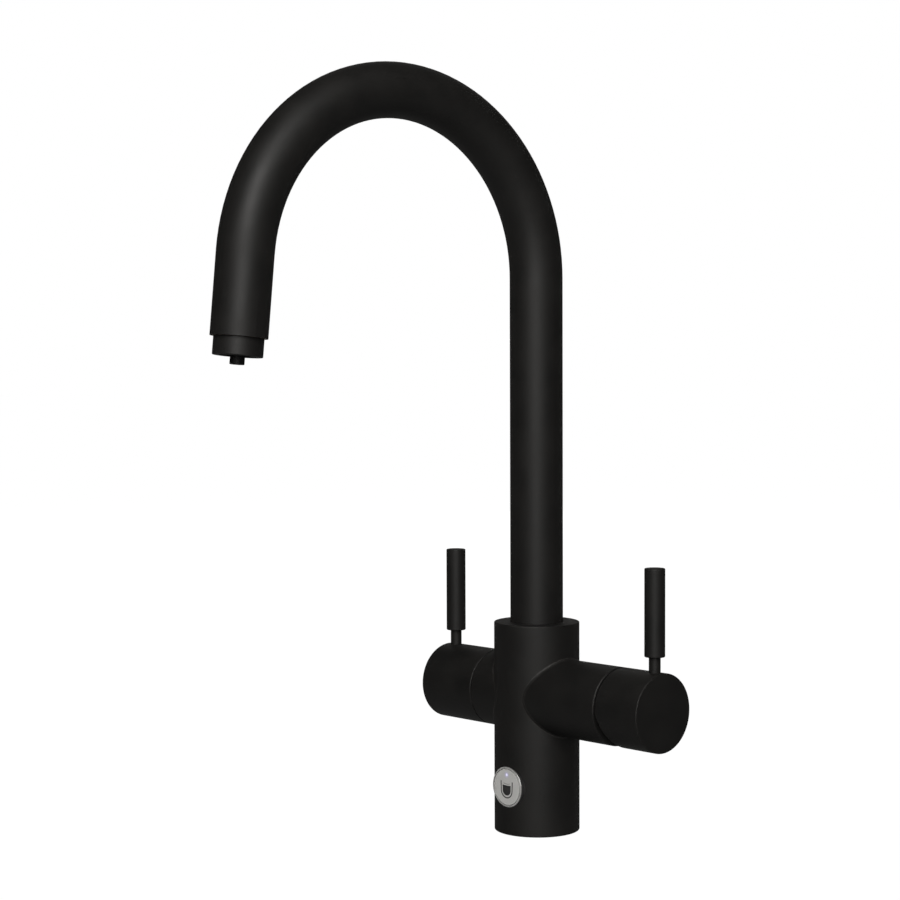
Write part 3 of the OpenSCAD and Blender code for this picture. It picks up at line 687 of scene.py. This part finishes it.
@dataclass(frozen=True)
class CreaseFillet:
    """The soft fillet in the crease where a round arm leaves the upright body."""

    name: str
    body_r: float
    arm_r: float
    arm_z: float
    side: int
    width: float = 1.1
    sink: float = 0.01
    root: float = 0.35
    steps: int = 240
    curve_steps: int = 9

    def build(self) -> bpy.types.Object:
        """Follows the curve where two crossing cylinders meet, with a hollow curve between them.

        At angle t round the arm the crease is at y = arm_r sin t, z = arm_z + arm_r cos t and
        x = sqrt(body_r^2 - y^2). From the crease, one foot of the fillet goes up the body and one
        out along the arm, square to the crease, and a parabola through both feet with the crease
        as its middle handle gives the hollow.

        Returns:
            The fillet's piece.
        """
        t = np.linspace(0.0, 2 * np.pi, self.steps, endpoint=False)
        y = self.arm_r * np.sin(t)
        x = np.sqrt(self.body_r**2 - y**2)
        crease = np.stack([x, y, self.arm_r * np.cos(t)], axis=1)
        along = np.roll(crease, -1, axis=0) - np.roll(crease, 1, axis=0)
        along /= np.linalg.norm(along, axis=1)[:, None]
        out_body = np.stack([x, y, 0 * x], axis=1) / self.body_r
        out_arm = np.stack([0 * x, np.sin(t), np.cos(t)], axis=1)
        up_body, up_arm = np.cross(along, out_body), np.cross(along, out_arm)
        up_body *= np.sign(np.sum(up_body * out_arm, axis=1))[:, None]
        up_arm *= np.sign(np.sum(up_arm * out_body, axis=1))[:, None]
        foot_body = crease + self.width * up_body
        foot_body[:, :2] *= ((self.body_r - self.sink) / np.linalg.norm(foot_body[:, :2], axis=1))[:, None]
        foot_arm = crease + self.width * up_arm
        foot_arm[:, 1:] *= ((self.arm_r - self.sink) / np.linalg.norm(foot_arm[:, 1:], axis=1))[:, None]
        inner = crease - self.root * (out_body + out_arm) / 2
        s = np.linspace(0.0, 1.0, self.curve_steps)[None, :, None]
        middle = 2 * s * (1 - s) * crease[:, None]
        hollow = (1 - s) ** 2 * foot_body[:, None] + middle + s**2 * foot_arm[:, None]
        loops = np.concatenate([hollow, inner[:, None]], axis=1)
        loops[..., 0] *= self.side
        loops[..., 2] += self.arm_z
        return carried(self.name, loops, closed=True)


# ---------- Sub-assemblies ----------


@dataclass
class Tower:
    """The upright body with both arms, its base, and what is drilled into its underside."""

    shop: Workshop
    body_r: float = 25.0
    arm_r: float = 22.4
    arm_z: float = 80.1
    shank_r: float = 15.7
    shank_h: float = 13.0
    port_r: float = 4.45
    port_h: float = 9.0
    port_circle_r: float = 9.0
    shank_pitch: float = 1.5
    shank_crest: float = 0.5
    port_pitch: float = 1.0
    port_crest: float = 0.32
    coat: PowderCoat = PowderCoat()
    rubber: Moulded = Moulded("black_rubber", (0.018, 0.018, 0.018), (0.028, 0.028, 0.027),
                              roughness=(0.62, 0.78))
    steel: TurnedMetal = TurnedMetal("stop_screw_steel", STEEL, STEEL_DULL, Axis.Y, (0.0, 0.0, 109.2))
    raw_brass: TurnedMetal = TurnedMetal("bored_brass", BRASS, BRASS_DULL, Axis.Z, (0.0, 0.0, 0.0))

    def build(self) -> None:
        """Adds the arms' fillets and the threads of the shank socket and the hose ports."""
        for name, side in (("right_arm_fillet", 1), ("left_arm_fillet", -1)):
            fillet = CreaseFillet(name, self.body_r, self.arm_r, self.arm_z, side).build()
            self.shop.add_piece(fillet, "tap_body", Slot.BLACK, self.coat)
        threads = [ThreadedBore("shank_thread", (0.0, 0.0), self.shank_r, 0.0, self.shank_h,
                                self.shank_pitch, self.shank_crest)]
        off = self.port_circle_r / math.sqrt(2)
        for x, y, water in ((1, 1, "hot"), (1, -1, "cold"), (-1, 1, "filtered"), (-1, -1, "boiling")):
            threads.append(ThreadedBore(f"{water}_port_thread", (x * off, y * off), self.port_r, self.shank_h,
                                        self.port_h, self.port_pitch, self.port_crest))
        for thread in threads:
            self.shop.add_piece(thread.build(), "tap_body", Slot.BRASS, self.raw_brass)

    def dress(self) -> None:
        """Coats the body, its seals and the stop screw."""
        self.shop.coat_nodes(self.coat, "valve_body")
        self.shop.coat_nodes(self.rubber, "base_seal", "cable_grommet", "inner_tube_seal")
        self.shop.coat_nodes(self.steel, "spout_stop_screw")


@dataclass
class Spout:
    """The swivelling J tube with its brass foot and the inner tube."""

    shop: Workshop
    coat: PowderCoat = PowderCoat()
    brass: TurnedMetal = TurnedMetal("turned_brass_upright", BRASS, BRASS_DULL, Axis.Z, (0.0, 0.0, 0.0))
    drawn: TurnedMetal = TurnedMetal("drawn_tube", STEEL, STEEL_DULL, Axis.Z, (0.0, 0.0, 0.0),
                                     ring_scale=2500.0)
    rubber: Moulded = Tower.rubber
    glide: Moulded = Moulded("white_glide_plastic", (0.80, 0.78, 0.72), (0.72, 0.70, 0.64),
                             roughness=(0.4, 0.52))

    def dress(self) -> None:
        """Coats every node of the spout above its outlet."""
        self.shop.coat_nodes(self.coat, "spout_tube")
        self.shop.coat_nodes(self.brass, "spout_spigot")
        self.shop.coat_nodes(self.drawn, "inner_tube")
        self.shop.coat_nodes(self.rubber, "spout_o_rings")
        self.shop.coat_nodes(self.glide, "spout_glide_ring")


@dataclass
class Outlet:
    """The aerator's collar, cage and screen round the nozzle for filtered and boiling water."""

    shop: Workshop
    coat: PowderCoat = PowderCoat()
    nozzle: PowderCoat = PowderCoat("nozzle_black", (0.004, 0.004, 0.004), (0.006, 0.006, 0.006),
                                    roughness=(0.5, 0.6), specular=0.15)
    brass: TurnedMetal = TurnedMetal("turned_brass_outlet", BRASS, BRASS_DULL, Axis.Z, OUTLET_AT)
    steel: TurnedMetal = TurnedMetal("etched_screen_steel", STEEL, STEEL_DULL, Axis.Z, OUTLET_AT)
    cage: Moulded = Spout.glide
    rubber: Moulded = Tower.rubber

    def dress(self) -> None:
        """Coats the outlet's nodes."""
        self.shop.coat_nodes(self.coat, "aerator_collar")
        self.shop.coat_nodes(self.nozzle, "outlet_nozzle")
        self.shop.coat_nodes(self.brass, "outlet_insert")
        self.shop.coat_nodes(self.steel, "aerator_screen")
        self.shop.coat_nodes(self.cage, "aerator_cage")
        self.shop.coat_nodes(self.rubber, "aerator_washer")


@dataclass
class MixerValve:
    """The ceramic cartridge in the right arm and the lever handle on it."""

    shop: Workshop
    coat: PowderCoat = PowderCoat()
    brass: TurnedMetal = TurnedMetal("turned_brass_right", BRASS, BRASS_DULL, Axis.X, ARM_AT)
    steel: TurnedMetal = TurnedMetal("turned_steel_right", STEEL, STEEL_DULL, Axis.X, ARM_AT)
    housing: Moulded = Moulded("glass_filled_plastic", (0.55, 0.53, 0.48), (0.47, 0.45, 0.40),
                               roughness=(0.45, 0.58))
    base: Moulded = Spout.glide
    cover: Moulded = Moulded("dark_plastic", (0.016, 0.016, 0.017), (0.024, 0.024, 0.025),
                             roughness=(0.42, 0.55))
    ceramic: Moulded = Moulded("ground_ceramic", (0.86, 0.86, 0.83), (0.80, 0.80, 0.76),
                               roughness=(0.12, 0.2), texture_scale=7000.0, texture_depth=0.000002)
    rubber: Moulded = Tower.rubber

    def dress(self) -> None:
        """Coats the cartridge's and the handle's nodes."""
        self.shop.coat_nodes(self.coat, "mixer_handle", "mixer_lever_stem", "mixer_lever_grip")
        self.shop.coat_nodes(self.brass, "cartridge_nut")
        self.shop.coat_nodes(self.steel, "mixer_spindle", "mixer_tilt_pin", "mixer_grub_screw")
        self.shop.coat_nodes(self.housing, "cartridge_housing", "mixer_rotor")
        self.shop.coat_nodes(self.base, "cartridge_base")
        self.shop.coat_nodes(self.cover, "cartridge_cover", "disc_carrier")
        self.shop.coat_nodes(self.ceramic, "mixer_fixed_disc", "mixer_moving_disc")
        self.shop.coat_nodes(self.rubber, "cartridge_port_seals")


@dataclass
class FilteredValve:
    """The quarter-turn ceramic valve in the left arm and its lever handle."""

    shop: Workshop
    coat: PowderCoat = PowderCoat()
    brass: TurnedMetal = MixerValve.brass
    steel: TurnedMetal = MixerValve.steel
    guide: Moulded = MixerValve.cover
    ceramic: Moulded = MixerValve.ceramic
    rubber: Moulded = Tower.rubber

    def dress(self) -> None:
        """Coats the valve's and the handle's nodes."""
        self.shop.coat_nodes(self.coat, "left_handle", "left_lever_stem", "left_lever_grip")
        self.shop.coat_nodes(self.brass, "left_valve_housing")
        self.shop.coat_nodes(self.steel, "left_spindle", "left_grub_screw")
        self.shop.coat_nodes(self.guide, "left_guide_ring")
        self.shop.coat_nodes(self.ceramic, "left_fixed_disc", "left_moving_disc")
        self.shop.coat_nodes(self.rubber, "left_valve_seal")


@dataclass
class PushButton:
    """The push button for boiling water, with a glass of water printed on its face."""

    shop: Workshop
    button_z: float = 28.0
    face_y: float = -24.9
    ink_t: float = 0.05
    line_w: float = 0.68
    glass_top: float = 3.4
    glass_half: float = 4.45
    glass_flare: float = 0.2
    glass_bend: float = -1.9
    glass_deep: float = 4.35
    cup_top: float = 1.3
    cup_dip: float = 0.4
    cup_half: float = 3.25
    cup_bend: float = -1.8
    cup_deep: float = 3.1
    water_top: float = 2.2
    water_half: float = 2.6
    water_w: float = 0.35
    wall_steps: int = 24
    turn_steps: int = 60
    cup_steps: int = 41
    line_steps: int = 30
    satin: SatinFace = SatinFace()
    # The bezel's painted shadow line lies at its outer rim, where it meets the body.
    polished: SatinFace = SatinFace("satin_bezel", roughness=(0.26, 0.36), metallic=0.55,
                                    shadow_rim=(0.0115, 0.0119))
    lens: Glow = Glow()
    ink: Ink = Ink("dark_print", (0.020, 0.020, 0.021), (0.032, 0.032, 0.033))
    pale_ink: Ink = Ink("pale_print", (0.20, 0.20, 0.20), (0.24, 0.24, 0.24))
    spring_steel: TurnedMetal = TurnedMetal("spring_steel", STEEL, STEEL_DULL, Axis.Y, (0.0, 0.0, 28.0))
    switch: Moulded = MixerValve.cover
    rubber: Moulded = Tower.rubber

    def on_face(self, across: np.ndarray, up: np.ndarray, lift: float) -> np.ndarray:
        """Points on the button's face: across to +X, up to +Z, and lift out of the face to -Y."""
        return np.stack([across, np.full_like(across, self.face_y - lift), self.button_z + up], axis=-1)

    def ribbon(self, name: str, across: np.ndarray, up: np.ndarray, width: float) -> bpy.types.Object:
        """A flat printed line: a thin rectangle carried along a path on the face.

        Args:
            name: The piece's name.
            across: The path's sideways coordinates.
            up: The path's upward coordinates.
            width: The line's width.

        Returns:
            The line's piece.
        """
        step = np.stack([np.gradient(across), np.gradient(up)], axis=1)
        step /= np.linalg.norm(step, axis=1)[:, None]
        side = np.stack([-step[:, 1], step[:, 0]], axis=1) * width / 2
        left = (across + side[:, 0], up + side[:, 1])
        right = (across - side[:, 0], up - side[:, 1])
        loops = np.stack([self.on_face(*left, -self.ink_t), self.on_face(*right, -self.ink_t),
                          self.on_face(*right, self.ink_t), self.on_face(*left, self.ink_t)], axis=1)
        return carried(name, loops, closed=False)

    def glass(self) -> bpy.types.Object:
        """The glass's outline: two walls that lean outwards, joined by half an ellipse below.

        Down a wall the distance from the middle shrinks in a straight line from half + flare to half.
        Round the bottom it is half * cos t, and the depth is deep * sin t.

        Returns:
            The outline's piece.
        """
        wall = np.linspace(1.0, 0.0, self.wall_steps)
        turn = np.linspace(0.0, np.pi, self.turn_steps)[1:-1]
        wall_x = self.glass_half + self.glass_flare * wall
        wall_z = self.glass_bend + (self.glass_top - self.glass_bend) * wall
        across = np.concatenate([-wall_x, -self.glass_half * np.cos(turn), wall_x[::-1]])
        up = np.concatenate([wall_z, self.glass_bend - self.glass_deep * np.sin(turn), wall_z[::-1]])
        return self.ribbon("glass_outline", across, up, self.line_w)

    def cup(self) -> bpy.types.Object:
        """The water in the glass: a filled shape with half an ellipse below and a hollow top edge.

        At a share s of the half width the bottom lies at deep * sqrt(1 - s^2) below the bend, and
        the top edge dips by dip * sqrt(1 - s^2).

        Returns:
            The water's piece.
        """
        s = np.sin(np.linspace(-np.pi / 2, np.pi / 2, self.cup_steps))
        rest = np.sqrt(np.clip(1.0 - s**2, 0.0, 1.0))
        top = self.cup_top - self.cup_dip * rest
        bottom = self.cup_bend - self.cup_deep * rest
        across = self.cup_half * s
        outline = ((top, -self.ink_t), (bottom, -self.ink_t), (bottom, self.ink_t), (top, self.ink_t))
        loops = np.stack([self.on_face(across, up, lift) for up, lift in outline], axis=1)
        return carried("glass_water", loops, closed=False)

    def water_line(self) -> bpy.types.Object:
        """The faint line of the water's surface: an arc that dips by dip * (1 - s^2) between the walls.

        Returns:
            The line's piece.
        """
        s = np.linspace(-1.0, 1.0, self.line_steps)
        up = self.water_top - self.cup_dip * (1 - s**2)
        return self.ribbon("glass_water_line", self.water_half * s, up, self.water_w)

    def build(self) -> None:
        """Prints the glass on the face."""
        prints = ((self.glass(), self.ink), (self.cup(), self.ink), (self.water_line(), self.pale_ink))
        for piece, ink in prints:
            self.shop.add_piece(piece, "push_button", Slot.BUTTON, ink)

    def dress(self) -> None:
        """Coats the button's nodes."""
        self.shop.coat_nodes(self.satin, "button_cap")
        self.shop.coat_nodes(self.polished, "button_bezel")
        self.shop.coat_nodes(self.lens, "button_window")
        self.shop.coat_nodes(self.spring_steel, "button_spring")
        self.shop.coat_nodes(self.switch, "button_switch")
        self.shop.coat_nodes(self.rubber, "button_gasket")


# ---------- Studio ----------


@dataclass(frozen=True)
class Viewpoint:
    """The photograph's viewpoint, in millimetres and degrees. Azimuth 0 looks along +Y."""

    azimuth: float = 47.27
    elevation: float = 2.70
    roll: float = -0.21
    distance: float = 1243.26
    focal_px: float = 2127.91
    aim_height: float = 223.27
    aim_side: float = -50.48
    picture_px: int = 900
    sensor: float = 36.0
    clip: Span = (0.05, 100.0)

    def place(self) -> None:
        """Makes the camera and lets the scene use it."""
        a, e, r = (math.radians(v) for v in (self.azimuth, self.elevation, self.roll))
        back = Vector((math.sin(a) * math.cos(e), -math.cos(a) * math.cos(e), math.sin(e)))
        level = Vector((math.cos(a), math.sin(a), 0.0))
        over = back.cross(level)
        right = math.cos(r) * level + math.sin(r) * over
        up = math.cos(r) * over - math.sin(r) * level
        spot = Vector((0.0, 0.0, self.aim_height)) + self.aim_side * level + self.distance * back
        lens = bpy.data.cameras.new("viewpoint")
        lens.sensor_width = self.sensor
        lens.lens = self.focal_px / self.picture_px * self.sensor
        lens.clip_start, lens.clip_end = self.clip
        camera = bpy.data.objects.new("viewpoint", lens)
        camera.matrix_world = Matrix.Translation(spot * MM) @ Matrix((right, up, back)).transposed().to_4x4()
        bpy.context.scene.collection.objects.link(camera)
        bpy.context.scene.camera = camera


@dataclass(frozen=True)
class Softbox:
    """One soft light, aimed at the tap from a direction given as the camera's is.

    A light that isn't mirrored fills the shade without a highlight.
    """

    name: str
    azimuth: float
    elevation: float
    distance: float
    size: tuple[float, float]
    power: float
    aim: Point = (0.0, -0.05, 0.22)
    colour: Colour = (1.0, 0.985, 0.96)
    mirrored: bool = True

    def place(self) -> None:
        """Makes the light."""
        a, e = math.radians(self.azimuth), math.radians(self.elevation)
        back = Vector((math.sin(a) * math.cos(e), -math.cos(a) * math.cos(e), math.sin(e)))
        lamp = bpy.data.lights.new(self.name, "AREA")
        lamp.shape = "RECTANGLE"
        lamp.size, lamp.size_y = self.size
        lamp.energy = self.power
        lamp.color = self.colour
        light = bpy.data.objects.new(self.name, lamp)
        light.rotation_mode = "QUATERNION"
        light.rotation_quaternion = (-back).to_track_quat("-Z", "Y")
        light.location = Vector(self.aim) + self.distance * back
        light.visible_glossy = self.mirrored
        bpy.context.scene.collection.objects.link(light)


@dataclass(frozen=True)
class Studio:
    """A pale floor under soft light, with white all round as the camera sees it."""

    floor_r: float = 12.0
    floor_z: float = -0.0002
    floor_glow: float = 1.0
    floor_rings: int = 24
    floor_sides: int = 96
    floor_colour: Colour = (0.008, 0.008, 0.008)
    floor_cloud: Colour = (0.012, 0.012, 0.012)
    floor_cloud_scale: float = 3.0
    floor_roughness: float = 0.7
    light_colour: Colour = (1.0, 0.99, 0.97)
    ambient: float = 0.012
    bounce: float = 0.20
    bounce_from: Span = (-0.5, 0.1)
    boxes: tuple[Softbox, ...] = (
        Softbox("key_box", 41.0, 20.0, 2.4, (1.1, 1.1), 24.0),
        Softbox("high_box", 50.0, 40.0, 2.4, (1.1, 1.1), 22.0),
        Softbox("low_box", 48.0, 8.0, 2.4, (1.1, 1.1), 12.5),
        Softbox("spout_box", 44.0, 33.0, 0.8, (0.25, 0.25), 2.5, aim=(-0.01, -0.2, 0.4)),
        Softbox("back_fill", 227.0, 12.0, 2.4, (1.5, 1.5), 110.0, mirrored=False),
        Softbox("back_left_fill", 272.0, 12.0, 2.4, (1.5, 1.5), 45.0, mirrored=False),
        Softbox("back_right_fill", 182.0, 12.0, 2.4, (1.5, 1.5), 45.0, mirrored=False),
        Softbox("back_sheen", 222.0, 30.0, 2.4, (1.5, 1.5), 2.0),
    )

    def floor(self) -> None:
        """A round pale floor, a disc of rings about the tap: radius grows with the square of the ring.

        It glows at just about white and takes hardly any light, so that it isn't brighter than white
        and a pixel that the tap half covers comes out half grey.
        """
        ring = np.linspace(0.0, 1.0, self.floor_rings)[1:] ** 2 * self.floor_r
        angle = np.linspace(0.0, 2 * np.pi, self.floor_sides, endpoint=False)
        x, y = ring[:, None] * np.cos(angle), ring[:, None] * np.sin(angle)
        points = np.concatenate([[[0.0, 0.0, 0.0]], np.stack([x, y, 0 * x], axis=2).reshape(-1, 3)])
        points[:, 2] = self.floor_z
        faces = (grid_faces(len(ring), len(angle), False, True) + 1).tolist()
        faces += [[0, 1 + i, 1 + (i + 1) % len(angle)] for i in range(len(angle))]
        floor = make_piece("floor", points / MM, faces)
        g = Graph("pale_floor")
        cloud = g.span(g.noise(self.floor_cloud_scale, detail=3.0), 0.0, 1.0, *NOISE_MOST)
        g.feed("Base Color", g.blend(cloud, self.floor_colour, self.floor_cloud))
        g.set(Roughness=self.floor_roughness, Specular_IOR_Level=0.0,
              Emission_Color=(1.0, 1.0, 1.0, 1.0), Emission_Strength=self.floor_glow)
        floor.data.materials.append(g.material)
        floor.visible_glossy = floor.visible_diffuse = False

    def surround(self) -> None:
        """White behind the tap as the camera sees it, and on the tap a dim light, stronger from below."""
        world = bpy.data.worlds.new("surround")
        world.use_nodes = True
        tree = world.node_tree
        tree.nodes.clear()
        seen, lit = tree.nodes.new("ShaderNodeBackground"), tree.nodes.new("ShaderNodeBackground")
        seen.inputs["Color"].default_value = (1.0, 1.0, 1.0, 1.0)
        lit.inputs["Color"].default_value = (*self.light_colour, 1.0)
        split, fall = tree.nodes.new("ShaderNodeSeparateXYZ"), tree.nodes.new("ShaderNodeMapRange")
        tree.links.new(tree.nodes.new("ShaderNodeTexCoord").outputs["Generated"], split.inputs["Vector"])
        tree.links.new(split.outputs["Z"], fall.inputs["Value"])
        low, high = self.bounce_from
        ends = {"From Min": low, "From Max": high, "To Min": self.bounce, "To Max": self.ambient}
        for key, number in ends.items():
            fall.inputs[key].default_value = number
        tree.links.new(fall.outputs["Result"], lit.inputs["Strength"])
        choice, rays = tree.nodes.new("ShaderNodeMixShader"), tree.nodes.new("ShaderNodeLightPath")
        output = tree.nodes.new("ShaderNodeOutputWorld")
        tree.links.new(rays.outputs["Is Camera Ray"], choice.inputs["Fac"])
        tree.links.new(lit.outputs["Background"], choice.inputs[1])
        tree.links.new(seen.outputs["Background"], choice.inputs[2])
        tree.links.new(choice.outputs["Shader"], output.inputs["Surface"])
        bpy.context.scene.world = world

    def build(self) -> None:
        """Sets up the floor, the surround and the lights."""
        bpy.context.scene.view_settings.view_transform = "Standard"
        self.floor()
        self.surround()
        for box in self.boxes:
            box.place()
            LOG.info("light %s", box.name)


def main() -> None:
    """Builds the studio and every sub-assembly in order."""
    logging.basicConfig(level=logging.INFO, format="%(name)s: %(message)s")
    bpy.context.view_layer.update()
    Viewpoint().place()
    Studio().build()
    shop = Workshop()
    tower, button = Tower(shop), PushButton(shop)
    tower.build()
    button.build()
    for part in (tower, Spout(shop), Outlet(shop), MixerValve(shop), FilteredValve(shop), button):
        part.dress()
        LOG.info("dressed %s", type(part).__name__)


if __name__ == "__main__":
    main()
